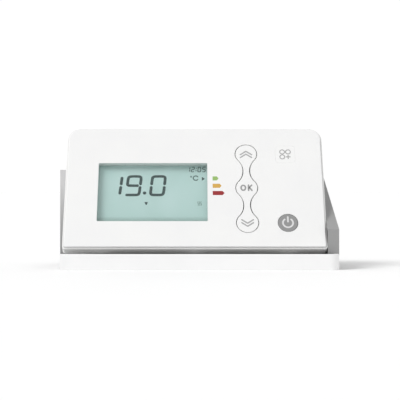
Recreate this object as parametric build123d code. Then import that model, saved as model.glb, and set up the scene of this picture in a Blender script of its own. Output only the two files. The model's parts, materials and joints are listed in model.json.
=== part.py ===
from build123d import *
import math
import os

# A thermostat's control head that leans back on a short length of housing. Millimetres, +Z up, front to -Y.
# The origin is at the middle of the base. The left end joins the next length of housing, the right end is
# closed by a sloping cheek.

# Head, in its own frame: x across, v up its front, w out of its front. Zero is the foot of the front plate's
# back face, at the middle.
LEAN = 30.0
HEAD_X, HEAD_FOOT_Y, HEAD_FOOT_Z = 0.2, -23.05, 9.03
RIM_W, RIM_H, RIM_DEPTH = 112.0, 60.0, 4.5
TOP_R, BOTTOM_R = 6.0, 1.3
PLATE_INSET, PLATE_T, PLATE_EDGE_R = 0.7, 1.6, 0.35
SHELL_WALL, RIM_WALL = 1.6, 1.8
LIP_TOP_W, LIP_GAP, LIP_EDGE_R = 0.6, 0.12, 0.15
BACK_X, BACK_V, BACK_W = 50.0, (3.3, 55.3), -14.0
BACK_CORNER_R, BACK_EDGE_R = 3.0, 1.2
SKIRT_T, SKIRT_DEPTH = 1.2, 2.7
FIT = 0.1

# Display
WINDOW_X, WINDOW_V, WINDOW_R = (-41.8, 5.55), (12.1, 41.0), 0.4
CELL_X, CELL_V = (-43.3, 7.0), (10.8, 42.3)
REAR_GLASS_TOP_V = 39.4
LENS_W, SPACER_W, FRONT_GLASS_W, REAR_GLASS_W = (-1.0, 0.0), (-1.4, -1.0), (-2.5, -1.4), (-3.6, -2.5)
GUIDE_X, GUIDE_V, GUIDE_W = (-41.6, 6.8), (11.0, 39.2), (-6.0, -3.6)
FILM_W = (-6.2, -6.0)
HOLDER_WALL = 0.8
STRIP_X, STRIP_V = (-38.0, 2.0), (39.8, 41.8)
LAMP_V = (17.0, 25.0, 33.0)

# Keys
LOBE_X, LOBE_V, LOBE_R = 22.45, (45.6, 28.5, 11.4), 4.8
NECK_HALF = 1.5
KEY_GAP = 0.3
SPLIT_GAP = 0.1
POWER_AT, POWER_R, POWER_GAP = (39.6, 11.3), 4.3, 0.15
MENU_AT, MENU_SIDE, MENU_R, MENU_GAP = (39.6, 45.4), 8.6, 1.6, 0.06
LIP_W, LIP_REACH = (-0.9, -0.1), 0.9
STEM_R, STEM_END_W = 1.6, -4.45

# Printed gauge, let into the plate
MARK_X, MARK_H, MARK_T, MARK_NOSE = 7.75, 2.05, 0.2, 0.8
MARKS = {"green_mark": (33.2, 2.6), "amber_mark": (29.5, 3.85), "red_mark": (25.9, 5.1)}

# Boards and screws in the head
BOARD_X, BOARD_V, BOARD_W = (-47.0, 47.0), (5.5, 53.1), (-8.0, -6.4)
MAT_X, MAT_V, MAT_T = (16.6, 46.4), (5.9, 52.3), 0.7
DOME_BASE_R, DOME_TOP_R, DOME_TOP_W, DOME_WALL = 3.2, 2.1, -4.5, 0.6
SHELL_SCREWS = ((-44.5, 7.4), (-44.5, 50.6), (31.5, 7.4), (31.5, 50.6))
BOARD_SCREWS = ((45.2, 28.5), (-12.0, 50.6))
BOSS_R, PILOT_R, SHANK_R, SCREW_HOLE_R = 1.8, 0.95, 0.9, 1.15
SCREW_HEAD_R, SCREW_HEAD_T = 1.9, 1.1
LINK_X, LINK_V, LINK_R = 8.0, 22.0, 1.1

# Cradle
LEFT_END, FLOOR_LEFT, RIGHT_END = -61.2, -56.3, 61.0
FRONT_Y, BACK_Y, WALL_T = -27.5, 27.5, 3.0
FLOOR_T, WALL_TOP = 2.0, 42.8
TONGUE_T = 1.5
RAIL_H, RAIL_T, RAIL_CORNER_R, RAIL_EDGE_R = 6.7, 2.0, 4.0, 0.5
HOOK_X = (-40.0, 0.0, 40.0)
CHEEK_T, CHEEK_FRONT_TOP, CHEEK_BACK_X = 1.5, 17.0, 58.3
CAP_INNER_X, CAP_CLEAR, CAP_FOOT_HALF = 51.0, 0.05, 2.5
CAP_SCREW_X, CAP_SCREW_Y = 54.0, (2.0, 16.0)
GUSSET_X, GUSSET_T, FLANGE_REACH, FLANGE_T = 48.0, 2.0, 6.0, 1.6
GUSSET_SCREW_X, GUSSET_SCREW_V = 43.0, (16.0, 42.0)
FOOT_Y, FOOT_SCREW_Y = (3.0, 17.0), (6.0, 14.0)
HOOD_X, HOOD_T, LOUVRES, LOUVRE_PITCH, LOUVRE_W = 49.0, 1.6, 20, 4.4, 1.8
HOOD_SCREW_X, HOOD_SCREW_Z = 40.0, 40.0
WALL_HOLE_X, WALL_HOLE_Z, WALL_HOLE_R = 30.0, 31.0, 2.25
ENTRY_Z, ENTRY_R, GROMMET_NECK_R, GROMMET_FLANGE_R = 31.0, 3.5, 5.0, 6.4
VENT_X, VENT_Y, VENT_W = (24.0, 27.0, 33.0, 36.0), (-20.0, -10.0), 1.4

# Power board in the cradle
POWER_BOARD_X, POWER_BOARD_Y, POWER_BOARD_Z = (-38.0, 38.0), (-4.0, 22.0), (5.0, 6.6)
POST_AT = ((-34.0, 0.0), (34.0, 0.0), (-34.0, 19.0), (34.0, 19.0))
CLAMP_X, CLAMP_Y, CLAMP_Z = 10.5, (17.5, 19.5), (19.5, 23.5)
SENSOR_AT, SENSOR_R = (30.0, -14.0, 3.8), 1.2

HEAD = Plane(
    origin=(HEAD_X, HEAD_FOOT_Y, HEAD_FOOT_Z),
    x_dir=(1, 0, 0),
    z_dir=(0, -math.cos(math.radians(LEAN)), math.sin(math.radians(LEAN))),
).location


def block(x, y, z):
    """A box between pairs of limits along each axis."""
    middle = [(low + high) / 2 for low, high in (x, y, z)]
    size = [high - low for low, high in (x, y, z)]
    return Pos(*middle) * Box(*size)


def post(x, y, z, radius):
    """A round post along z between a pair of limits."""
    return Pos(x, y, (z[0] + z[1]) / 2) * Cylinder(radius, z[1] - z[0])


def rounded(x, y, radius):
    """A flat rectangle between pairs of limits, with round corners."""
    face = RectangleRounded(x[1] - x[0], y[1] - y[0], radius)
    return Pos((x[0] + x[1]) / 2, (y[0] + y[1]) / 2) * face


def slab(face, w):
    """A flat shape given thickness between a pair of limits along w."""
    return Pos(0, 0, w[0]) * extrude(face, w[1] - w[0])


def grown(limits, by):
    return limits[0] - by, limits[1] + by


def screw(x, y, head_z, length, up=1):
    """A pan-head screw: its head's top is at head_z and its shank runs the way that up says."""
    head = Cylinder(SCREW_HEAD_R, SCREW_HEAD_T) - Pos(0, 0, -SCREW_HEAD_T / 2) * (
        Box(2.2, 0.5, 0.8) + Box(0.5, 2.2, 0.8)
    )
    head = Pos(0, 0, SCREW_HEAD_T / 2) * head
    shank = Pos(0, 0, SCREW_HEAD_T + (length - SCREW_HEAD_T) / 2) * Cylinder(SHANK_R, length - SCREW_HEAD_T)
    turn = 0 if up > 0 else 180
    return Pos(x, y, head_z) * Rot(turn, 0, 0) * (head + shank)


def head_outline(inset):
    """The head's outline drawn in by inset: large corners at the top, small ones at the foot."""
    middle_v = RIM_H / 2 - PLATE_INSET
    face = Pos(0, middle_v) * Rectangle(RIM_W - 2 * inset, RIM_H - 2 * inset)
    face = fillet(face.vertices().group_by(Axis.Y)[-1], TOP_R - inset)
    return fillet(face.vertices().group_by(Axis.Y)[0], max(BOTTOM_R - inset, 0.3))


def lobes(inset):
    """The three-lobed key outline drawn in by inset: discs joined by necks that curve in between them."""
    half_pitch = (LOBE_V[0] - LOBE_V[1]) / 2
    hollow_r = (NECK_HALF**2 + half_pitch**2 - LOBE_R**2) / (2 * (LOBE_R - NECK_HALF))
    share = LOBE_R / (LOBE_R + hollow_r)
    tangent_x = (NECK_HALF + hollow_r) * share
    tangent_v = half_pitch * (1 - share)
    face = Sketch()
    for v in LOBE_V:
        face += Pos(LOBE_X, v) * Circle(LOBE_R - inset)
    for v in (LOBE_V[1] - half_pitch, LOBE_V[1] + half_pitch):
        neck = Pos(LOBE_X, v) * Rectangle(2 * tangent_x, 2 * tangent_v)
        for side in (-1, 1):
            neck -= Pos(LOBE_X + side * (NECK_HALF + hollow_r), v) * Circle(hollow_r + inset)
        face += neck
    return face


def menu_outline(inset):
    side = MENU_SIDE - 2 * inset
    return Pos(*MENU_AT) * RectangleRounded(side, side, MENU_R - inset)


def power_outline(inset):
    return Pos(*POWER_AT) * Circle(POWER_R - inset)


def mark_outline(v, length):
    """A gauge mark: square at its left end and blunt-nosed at its right."""
    half, nose = MARK_H / 2, MARK_X + length
    points = (
        (MARK_X, v - half),
        (nose - MARK_NOSE, v - half),
        (nose, v),
        (nose - MARK_NOSE, v + half),
        (MARK_X, v + half),
    )
    face = make_face(Polyline(*points, close=True))
    return fillet(face.vertices().sort_by(Axis.X)[-3:], 0.3)


def front_cover():
    plate = extrude(head_outline(PLATE_INSET), PLATE_T)
    plate = fillet(plate.edges().group_by(Axis.Z)[-1], PLATE_EDGE_R)
    skirt_inset = RIM_WALL + FIT
    cover = plate + slab(head_outline(skirt_inset) - head_outline(skirt_inset + SKIRT_T), (-SKIRT_DEPTH, 0))
    for x, v in SHELL_SCREWS + BOARD_SCREWS:
        cover += post(x, v, (BOARD_W[1], 0), BOSS_R)
        cover -= post(x, v, (BOARD_W[1], -0.6), PILOT_R)
    through = (-1, PLATE_T + 1)
    cover -= slab(rounded(WINDOW_X, WINDOW_V, WINDOW_R), through)
    cover -= slab(lobes(-KEY_GAP / 2), through)
    cover -= slab(menu_outline(-MENU_GAP / 2), through)
    cover -= slab(power_outline(-POWER_GAP / 2), through)
    for v, length in MARKS.values():
        cover -= slab(mark_outline(v, length), (PLATE_T - MARK_T, PLATE_T + 1))
    return cover


def rear_shell():
    rim = extrude(head_outline(0), -RIM_DEPTH)
    rim = fillet(rim.edges().group_by(Axis.Z)[0], BACK_EDGE_R)
    back = block((-BACK_X, BACK_X), BACK_V, (BACK_W, -RIM_DEPTH))
    back = fillet(back.edges().filter_by(Axis.Z), BACK_CORNER_R)
    back = fillet(back.edges().group_by(Axis.Z)[0], BACK_EDGE_R)
    shelf_w, floor_w = SHELL_WALL - RIM_DEPTH, BACK_W + SHELL_WALL
    lip = extrude(head_outline(0), LIP_TOP_W)
    lip = fillet(lip.edges().group_by(Axis.Z)[-1], LIP_EDGE_R) - slab(head_outline(PLATE_INSET - LIP_GAP), (0, 1))
    shell = rim + lip + back - slab(head_outline(RIM_WALL), (shelf_w, 1))
    inner_r = BACK_CORNER_R - SHELL_WALL
    inner = rounded(grown((-BACK_X, BACK_X), -SHELL_WALL), grown(BACK_V, -SHELL_WALL), inner_r)
    shell -= slab(inner, (floor_w, 1))
    for x, v in SHELL_SCREWS:
        shell += post(x, v, (floor_w, BOARD_W[0]), BOSS_R + 0.6)
        shell -= post(x, v, (BACK_W - 1, BOARD_W[0]), SCREW_HOLE_R)
        shell -= post(x, v, (BACK_W - 1, BACK_W + SCREW_HEAD_T + FIT), SCREW_HEAD_R + 2 * FIT)
    for side in (-1, 1):
        for v in GUSSET_SCREW_V:
            shell += post(side * GUSSET_SCREW_X, v, (floor_w, -9.4), BOSS_R)
            shell -= post(side * GUSSET_SCREW_X, v, (BACK_W - 1, -10.0), PILOT_R)
    slot = rounded(grown((LINK_X, LINK_X), 3.5), grown((LINK_V, LINK_V), 2.0), 1.0)
    return shell - slab(slot, (BACK_W - 1, floor_w + 1))


def window_lens():
    return slab(rounded(CELL_X, CELL_V, 0.3), LENS_W)


def display_holder():
    """A tray wall round the lens, cell and light guide, with a ledge that keeps lens and cell apart."""
    inner = rounded(grown(CELL_X, FIT), grown(CELL_V, FIT), 0.3)
    outer = rounded(grown(CELL_X, FIT + HOLDER_WALL), grown(CELL_V, FIT + HOLDER_WALL), 0.8)
    opening = rounded(grown(WINDOW_X, 0.3), grown(WINDOW_V, 0.3), WINDOW_R)
    return slab(outer - inner, (BOARD_W[1], 0)) + slab(outer - opening, SPACER_W)


def display_cell():
    """Two glasses: the front one stands past the rear one at the top, where the contacts are."""
    front = slab(rounded(CELL_X, CELL_V, 0.3), FRONT_GLASS_W)
    return front + block(CELL_X, (CELL_V[0], REAR_GLASS_TOP_V), REAR_GLASS_W)


def light_guide():
    return block(GUIDE_X, GUIDE_V, GUIDE_W)


def reflector_film():
    return block(GUIDE_X, GUIDE_V, FILM_W)


def contact_strip():
    return block(STRIP_X, STRIP_V, (BOARD_W[1], FRONT_GLASS_W[0]))


def backlight_lamps():
    lamps = [block((-43.1, -41.8), grown((v, v), 1.0), (BOARD_W[1], BOARD_W[1] + 1.3)) for v in LAMP_V]
    return Compound(children=lamps)


def main_board():
    board = slab(rounded(BOARD_X, BOARD_V, 1.0), BOARD_W)
    for x, v in SHELL_SCREWS + BOARD_SCREWS:
        board -= post(x, v, (BOARD_W[0] - 1, BOARD_W[1] + 1), SCREW_HOLE_R)
    return board


def control_chip():
    """A flat package with a row of leads along each side."""
    top_w = BOARD_W[0]
    chip = block((-20, -10), (25, 35), (top_w - 1.5, top_w - 0.1))
    for i in range(10):
        place = 25.5 + i
        chip += block((-21.2, -8.8), grown((place, place), 0.2), (top_w - 0.6, top_w))
        chip += block(grown((place - 45, place - 45), 0.2), (23.8, 36.2), (top_w - 0.6, top_w))
    return chip


def board_parts():
    """Small parts on the back of the main board: resistors, capacitors and the clock crystal."""
    w = BOARD_W[0]
    places = [(-30, 20 + 3 * i) for i in range(6)] + [(-2, 28 + 3 * i) for i in range(5)]
    parts = [block(grown((x, x), 1.0), grown((v, v), 0.6), (w - 0.6, w)) for x, v in places]
    crystal = slab(rounded((-24, -13), (39, 43), 1.9), (w - 3.4, w))
    return Compound(children=parts + [crystal])


def board_socket():
    """The link cable's socket on the back of the main board."""
    w = (BOARD_W[0] - 2.4, BOARD_W[0])
    return block(grown((LINK_X, LINK_X), 3.0), grown((LINK_V, LINK_V), 1.8), w)


def key_places():
    return [(LOBE_X, v) for v in LOBE_V] + [POWER_AT, MENU_AT]


def key_mat():
    """A silicone sheet with a hollow dome under each key."""
    base_w = BOARD_W[1]
    mat = slab(rounded(MAT_X, MAT_V, 1.5), (base_w, base_w + MAT_T))
    height = DOME_TOP_W - base_w
    for x, v in key_places():
        middle = Pos(x, v, base_w + height / 2)
        mat += middle * Cone(DOME_BASE_R, DOME_TOP_R, height)
        hollow = Cone(DOME_BASE_R - DOME_WALL, DOME_TOP_R - DOME_WALL, height - DOME_WALL)
        mat -= Pos(0, 0, -DOME_WALL / 2) * middle * hollow
    for x, v in SHELL_SCREWS[2:] + BOARD_SCREWS[:1]:
        mat -= post(x, v, (base_w - 1, 0), BOSS_R + 0.5)
    return mat


def key(outline, lip, at):
    """A key cap with a lip that keeps it behind the plate and a stem that presses its dome."""
    cap = slab(outline, (LIP_W[0], PLATE_T)) + slab(lip, LIP_W)
    return cap + post(*at, (STEM_END_W, LIP_W[0]), STEM_R)


def lobe_key(row):
    """One of the three lobes, with its share of the necks."""
    half_pitch = (LOBE_V[0] - LOBE_V[1]) / 2
    v = LOBE_V[row]
    low = v - half_pitch + SPLIT_GAP / 2 if row < 2 else v - 2 * half_pitch
    high = v + half_pitch - SPLIT_GAP / 2 if row > 0 else v + 2 * half_pitch
    band = Pos(LOBE_X, (low + high) / 2) * Rectangle(4 * LOBE_R, high - low)
    lip = Pos(LOBE_X, v) * Circle(LOBE_R + LIP_REACH)
    return key(lobes(KEY_GAP / 2) & band, lip, (LOBE_X, v))


def gauge_mark(v, length):
    return slab(mark_outline(v, length), (PLATE_T - MARK_T, PLATE_T))


def back_point(v, w=BACK_W):
    """The depth and height of a point of the head's side view, v up its front and w out of it."""
    lean = math.radians(LEAN)
    y = HEAD_FOOT_Y + v * math.sin(lean) - w * math.cos(lean)
    return y, HEAD_FOOT_Z + v * math.cos(lean) + w * math.sin(lean)


def profile(points, x):
    """A side-view outline carried across between a pair of x limits."""
    face = Plane.YZ * make_face(Polyline(*points, close=True))
    return Pos(x[0], 0, 0) * extrude(face, x[1] - x[0], dir=(1, 0, 0))


def side_x(y):
    """Where the tapering right side stands at a depth y."""
    corner = FRONT_Y + RAIL_CORNER_R
    return RIGHT_END - (RIGHT_END - CHEEK_BACK_X) * (y - corner) / (BACK_Y - WALL_T - corner)


def cradle():
    inner_front = FRONT_Y + RAIL_T
    corner = FRONT_Y + RAIL_CORNER_R
    back_x = side_x(BACK_Y)
    arc_r = RAIL_CORNER_R - RAIL_T
    line = Polyline(
        (RIGHT_END - RAIL_T, corner), (RIGHT_END, corner), (back_x, BACK_Y), (FLOOR_LEFT, BACK_Y),
        (FLOOR_LEFT, inner_front), (RIGHT_END - RAIL_CORNER_R, inner_front),
    )
    arc = RadiusArc(line @ 1, line @ 0, -arc_r)
    body = slab(make_face(line + arc), (0, FLOOR_T))
    body += block((FLOOR_LEFT, back_x - CHEEK_T - FIT), (BACK_Y - WALL_T, BACK_Y), (0, WALL_TOP))
    body += block((LEFT_END, FLOOR_LEFT), (BACK_Y - WALL_T, BACK_Y - WALL_T + TONGUE_T), (0, WALL_TOP))
    for x, y in POST_AT:
        body += post(x, y, (FLOOR_T, POWER_BOARD_Z[0]), 2.4)
        body -= post(x, y, (1.0, POWER_BOARD_Z[0] + 1), PILOT_R)
    for side in (-1, 1):
        body += wall_post(side * CLAMP_X, sum(CLAMP_Z) / 2, (CLAMP_Y[1], BACK_Y - WALL_T), 2.2)
        body -= wall_post(side * CLAMP_X, sum(CLAMP_Z) / 2, (CLAMP_Y[1] - 1, BACK_Y - 1), PILOT_R)
        body -= wall_post(side * WALL_HOLE_X, WALL_HOLE_Z, (BACK_Y - WALL_T - 1, BACK_Y + 1), WALL_HOLE_R)
        body -= wall_post(side * HOOD_SCREW_X, HOOD_SCREW_Z, (BACK_Y - WALL_T - 1, BACK_Y + 1), SCREW_HOLE_R)
        head_y = (BACK_Y - SCREW_HEAD_T - FIT, BACK_Y + 1)
        body -= wall_post(side * HOOD_SCREW_X, HOOD_SCREW_Z, head_y, SCREW_HEAD_R + 2 * FIT)
        for y in FOOT_SCREW_Y:
            body -= post(HEAD_X + side * GUSSET_SCREW_X, y, (0.6, FLOOR_T + 1), PILOT_R)
    for y in CAP_SCREW_Y:
        body -= post(CAP_SCREW_X, y, (0.6, FLOOR_T + 1), PILOT_R)
    body -= wall_post(0, ENTRY_Z, (BACK_Y - WALL_T - 1, BACK_Y + 1), GROMMET_NECK_R)
    body -= wall_post(0, ENTRY_Z, (BACK_Y - 1.2, BACK_Y + 1), GROMMET_FLANGE_R + FIT)
    for x in VENT_X:
        body -= block(grown((x, x), VENT_W / 2), VENT_Y, (-1, FLOOR_T + 1))
    return body


def wall_post(x, z, y, radius):
    """A round post along Y between a pair of limits."""
    return Pos(x, (y[0] + y[1]) / 2, z) * Rot(90, 0, 0) * Cylinder(radius, y[1] - y[0])


def end_cap():
    """The right cheek: a tapering side wall with a flange turned in along its front and its sloped top, cut
    clear of the head, and two feet screwed to the floor."""
    corner, wall_y = FRONT_Y + RAIL_CORNER_R, BACK_Y - WALL_T
    slope = math.atan2(WALL_TOP - CHEEK_FRONT_TOP, wall_y - corner)
    x_limits = (CAP_INNER_X - 1, RIGHT_END + 1)

    def solid(inset):
        plan = Polyline(
            (RIGHT_END - inset, corner), (side_x(BACK_Y) - inset, BACK_Y), (x_limits[0], BACK_Y),
            (x_limits[0], corner), close=True,
        )
        drop = inset / math.cos(slope)
        front_top = CHEEK_FRONT_TOP + inset * math.tan(slope) - drop
        top = ((corner + inset, front_top), (wall_y, WALL_TOP - drop), (BACK_Y, WALL_TOP - drop))
        side = profile(((corner + inset, 0), *top, (BACK_Y, 0)), x_limits)
        return slab(make_face(plan), (FLOOR_T, WALL_TOP + 1)) & side

    cap = solid(0) - solid(CHEEK_T)
    cap -= block((x_limits[0] - 1, CAP_INNER_X), (corner - 1, BACK_Y + 1), (0, WALL_TOP + 1))
    cap -= block((x_limits[0], side_x(BACK_Y) - CHEEK_T), (wall_y - FIT, BACK_Y + 1), (0, WALL_TOP + 1))
    cap -= HEAD * slab(head_outline(-CAP_CLEAR), (-RIM_DEPTH - CAP_CLEAR, PLATE_T + 6))
    rim_side = HEAD_X + RIM_W / 2 + CAP_CLEAR
    cap -= block((x_limits[0], rim_side), (corner - 1, corner + CHEEK_T), (0, CHEEK_FRONT_TOP))
    foot_z = (FLOOR_T, FLOOR_T + FLANGE_T)
    for y in CAP_SCREW_Y:
        foot_x = (CAP_SCREW_X - CAP_FOOT_HALF, side_x(y) - CHEEK_T / 2)
        cap += block(foot_x, grown((y, y), CAP_FOOT_HALF), foot_z)
        cap -= post(CAP_SCREW_X, y, grown(foot_z, 1), SCREW_HOLE_R)
    return cap


def front_rail():
    """The white strip along the front, bent round the right corner, with hooks on the floor's front edge."""
    corner = FRONT_Y + RAIL_CORNER_R

    def strip(inset):
        right, front = RIGHT_END - inset, FRONT_Y + inset
        middle = Pos((FLOOR_LEFT + right) / 2, (front + corner) / 2)
        face = middle * Rectangle(right - FLOOR_LEFT, corner - front)
        foot = face.vertices().group_by(Axis.Y)[0].sort_by(Axis.X)[-1]
        return fillet(foot, RAIL_CORNER_R - inset - 0.01)

    rail = extrude(strip(0) - strip(RAIL_T), RAIL_H)
    top = rail.faces().sort_by(Axis.Z)[-1]
    arcs = [e for e in top.edges().filter_by(GeomType.CIRCLE) if e.radius > RAIL_CORNER_R - 1]
    rail = fillet(arcs + [e for e in top.edges() if e.center().Y < FRONT_Y + 0.1], RAIL_EDGE_R)
    inner_y = FRONT_Y + RAIL_T
    for x in HOOK_X:
        rail += block(grown((x, x), 3.0), (inner_y - 0.5, inner_y + 4), (FLOOR_T, FLOOR_T + 1.2))
    return rail


def gusset(side):
    """A sloped plate that carries one end of the head, with a flange along the slope and a foot."""
    outer, inner = GUSSET_X, GUSSET_X - GUSSET_T
    low, high = back_point(5), back_point(48)
    wall_y = BACK_Y - WALL_T
    lip_y, lip_z = wall_y - HOOD_T - 0.3, HOOD_SCREW_Z - 2.7
    back = ((lip_y, high[1] - 2), (lip_y, lip_z), (wall_y, lip_z), (wall_y, FLOOR_T))
    plate = profile((low, high, *back, (low[0], FLOOR_T)), (inner, outer))
    strip = (low, high, back_point(48, BACK_W - FLANGE_T), back_point(5, BACK_W - FLANGE_T))
    part = plate + profile(strip, (inner - FLANGE_REACH, inner))
    part += block((inner - FLANGE_REACH, inner), FOOT_Y, (FLOOR_T, FLOOR_T + FLANGE_T))
    for y in FOOT_SCREW_Y:
        part -= post(GUSSET_SCREW_X, y, (FLOOR_T - 1, FLOOR_T + FLANGE_T + 1), SCREW_HOLE_R)
    part = Pos(HEAD_X, 0, 0) * part
    for v in GUSSET_SCREW_V:
        part -= HEAD * post(GUSSET_SCREW_X, v, (BACK_W - FLANGE_T - 1, BACK_W + 1), SCREW_HOLE_R)
    if side < 0:
        part = Pos(2 * HEAD_X, 0, 0) * mirror(part, Plane.YZ)
    return part


def rear_hood():
    """A cover from the head's back to the top of the rear wall, with louvres along it."""
    wall_y, gap = BACK_Y - WALL_T, 0.15
    meet_y, meet_z = back_point(51.5)
    points = (
        (meet_y + gap, meet_z), (BACK_Y, WALL_TOP + HOOD_T), (BACK_Y, WALL_TOP), (wall_y, WALL_TOP),
        (wall_y, HOOD_SCREW_Z - 2.4), (wall_y - HOOD_T, HOOD_SCREW_Z - 2.4), (wall_y - HOOD_T, WALL_TOP),
        (meet_y + gap, meet_z - HOOD_T),
    )
    hood = profile(points, (HEAD_X - HOOD_X, HEAD_X + HOOD_X))
    for i in range(LOUVRES):
        x = HEAD_X + (i - (LOUVRES - 1) / 2) * LOUVRE_PITCH
        hood -= block(grown((x, x), LOUVRE_W / 2), (17.0, 22.0), (WALL_TOP - 1, WALL_TOP + 8))
    for side in (-1, 1):
        hood -= wall_post(side * HOOD_SCREW_X, HOOD_SCREW_Z, (wall_y - HOOD_T - 1, wall_y + 1), PILOT_R)
    return hood


def cable_grommet():
    """A rubber ring in the rear wall: two flanges, a neck, and the hole for the supply cable."""
    wall_y = BACK_Y - WALL_T
    ring = wall_post(0, ENTRY_Z, (wall_y - 1.6, BACK_Y), GROMMET_NECK_R - FIT)
    ring += wall_post(0, ENTRY_Z, (wall_y - 1.6, wall_y), GROMMET_FLANGE_R)
    ring += wall_post(0, ENTRY_Z, (BACK_Y - 1.2, BACK_Y), GROMMET_FLANGE_R)
    return ring - wall_post(0, ENTRY_Z, (wall_y - 5, BACK_Y + 5), ENTRY_R)


def cable_clamp():
    bar = block(grown((0, 0), CLAMP_X + 2.5), CLAMP_Y, CLAMP_Z)
    for side in (-1, 1):
        bar -= wall_post(side * CLAMP_X, sum(CLAMP_Z) / 2, (CLAMP_Y[0] - 1, CLAMP_Y[1] + 1), SCREW_HOLE_R)
    return bar


def power_board():
    board = slab(rounded(POWER_BOARD_X, POWER_BOARD_Y, 1.0), POWER_BOARD_Z)
    for x, y in POST_AT:
        board -= post(x, y, grown(POWER_BOARD_Z, 1), SCREW_HOLE_R)
    return board


def on_power_board(height):
    return POWER_BOARD_Z[1], POWER_BOARD_Z[1] + height


def relay():
    body = block((-30, -13), (6, 16), on_power_board(15.0))
    return fillet(body.edges().group_by(Axis.Z)[-1], 0.6)


def transformer():
    """A laminated core with its winding on each side."""
    core = block((14, 30), (9, 15), on_power_board(14.0))
    winding = Pos(22, 12, POWER_BOARD_Z[1] + 7) * Box(10, 12, 9)
    return core + fillet(winding.edges().filter_by(Axis.X), 1.5)


def capacitor():
    can = post(-3, 4.5, on_power_board(11.5), 3.6)
    return fillet(can.edges().group_by(Axis.Z)[-1], 0.6)


def fuse():
    """A cartridge fuse lying in two clips."""
    z = POWER_BOARD_Z[1] + 4.0
    tube = Pos(23, 0, z) * Rot(0, 90, 0) * Cylinder(2.3, 16)
    caps = [Pos(23 + side * 6.5, 0, z) * Rot(0, 90, 0) * Cylinder(2.6, 4) for side in (-1, 1)]
    ends = [grown((23 + side * 6.5,) * 2, 1.2) for side in (-1, 1)]
    return tube + caps + [block(end, (-2.0, 2.0), (POWER_BOARD_Z[1], z)) for end in ends]


def varistor():
    body = Pos(-8.5, -0.5, POWER_BOARD_Z[1] + 4.0) * Rot(90, 0, 0) * Cylinder(3.4, 2.0)
    return body + block((-11.0, -6.0), (-0.9, -0.1), on_power_board(2.5))


def link_header():
    return block(grown((HEAD_X + LINK_X,) * 2, 3.0), grown((link_foot_y(),) * 2, 1.8), on_power_board(3.6))


def link_foot_y():
    return back_point(LINK_V, BACK_W - 4)[0]


def link_cable():
    """The cable between the boards: up from its header and square into the head's back."""
    x = HEAD_X + LINK_X
    bend = back_point(LINK_V, BACK_W - 4)
    end = back_point(LINK_V, BOARD_W[0] - 2.4)
    points = [(x, bend[0], POWER_BOARD_Z[1] + 3.6), (x, *bend), (x, *end)]
    runs = [math.dist(points[0], points[1]), math.dist(points[1], points[2])]
    radius = 0.45 * min(runs) / math.tan(math.radians(90 - LEAN) / 2)
    path = FilletPolyline(*points, radius=radius)
    return sweep(Plane(origin=path @ 0, z_dir=path % 0) * Circle(LINK_R), path)


def terminal_block():
    """Three ways, each with a screw well on top and a wire mouth at the back."""
    body = block((-9, 9), (9.5, 16.5), on_power_board(9.0))
    for x in (-6, 0, 6):
        body -= post(x, 13.0, (POWER_BOARD_Z[1] + 5, POWER_BOARD_Z[1] + 10), 2.0)
        body -= block(grown((x, x), 1.8), (14.5, 17.0), (POWER_BOARD_Z[1] + 1.5, POWER_BOARD_Z[1] + 4.5))
    return body


def terminal_screws():
    top = POWER_BOARD_Z[1] + 7.6
    screws = [post(x, 13.0, (POWER_BOARD_Z[1] + 5, top), 1.7) for x in (-6, 0, 6)]
    return Compound(children=[s - Pos(s.center().X, 13.0, top) * Box(4, 0.6, 1.0) for s in screws])


def sensor_holder():
    x, y, z = SENSOR_AT
    body = block(grown((x, x), 2.4), (y - 1.6, y + 1.6), (FLOOR_T, z + 0.4))
    body -= Pos(x, y, z) * Sphere(SENSOR_R + FIT)
    body -= Pos(x, y + 1, z) * Box(2.6, 2.4, 1.8)
    return body - Pos(x, y, z + 0.6) * Box(1.8, 1.8, 1.0)


def sensor_bead():
    return Pos(*SENSOR_AT) * Sphere(SENSOR_R)


def sensor_lead():
    """Two fine wires from the bead to the underside of the power board."""
    x, y, z = SENSOR_AT
    wires = []
    for side in (-1, 1):
        path = FilletPolyline(
            (x + 0.5 * side, y + SENSOR_R + 0.1, z - 0.3), (x + 0.5 * side, -4.0, z - 0.3),
            (x + 0.5 * side, 1.0, POWER_BOARD_Z[0] - 0.5), radius=12.0,
        )
        wires.append(sweep(Plane(origin=path @ 0, z_dir=path % 0) * Circle(0.35), path))
    return Compound(children=wires)


def screws_in_head(places, head_w, length, up):
    return Compound(children=[HEAD * screw(x, v, head_w, length, up) for x, v in places])


def gusset_screws():
    places = [(side * GUSSET_SCREW_X, v) for side in (-1, 1) for v in GUSSET_SCREW_V]
    return screws_in_head(places, BACK_W - FLANGE_T - SCREW_HEAD_T, 6.2, 1)


def foot_screws():
    top = FLOOR_T + FLANGE_T + SCREW_HEAD_T
    places = [(HEAD_X + side * GUSSET_SCREW_X, y) for side in (-1, 1) for y in FOOT_SCREW_Y]
    places += [(CAP_SCREW_X, y) for y in CAP_SCREW_Y]
    return Compound(children=[screw(x, y, top, 3.8, -1) for x, y in places])


def post_screws():
    top = POWER_BOARD_Z[1] + SCREW_HEAD_T
    return Compound(children=[screw(x, y, top, 6.0, -1) for x, y in POST_AT])


def wall_screws(x, z, head_y, length, turn):
    """Two screws along Y, at plus and minus x."""
    return Compound(children=[
        Pos(side * x, head_y, z) * Rot(turn, 0, 0) * screw(0, 0, 0, length) for side in (-1, 1)
    ])


def hood_screws():
    return wall_screws(HOOD_SCREW_X, HOOD_SCREW_Z, BACK_Y - FIT, 5.4, 90)


def clamp_screws():
    return wall_screws(CLAMP_X, sum(CLAMP_Z) / 2, CLAMP_Y[0] - SCREW_HEAD_T, 8.0, -90)


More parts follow.
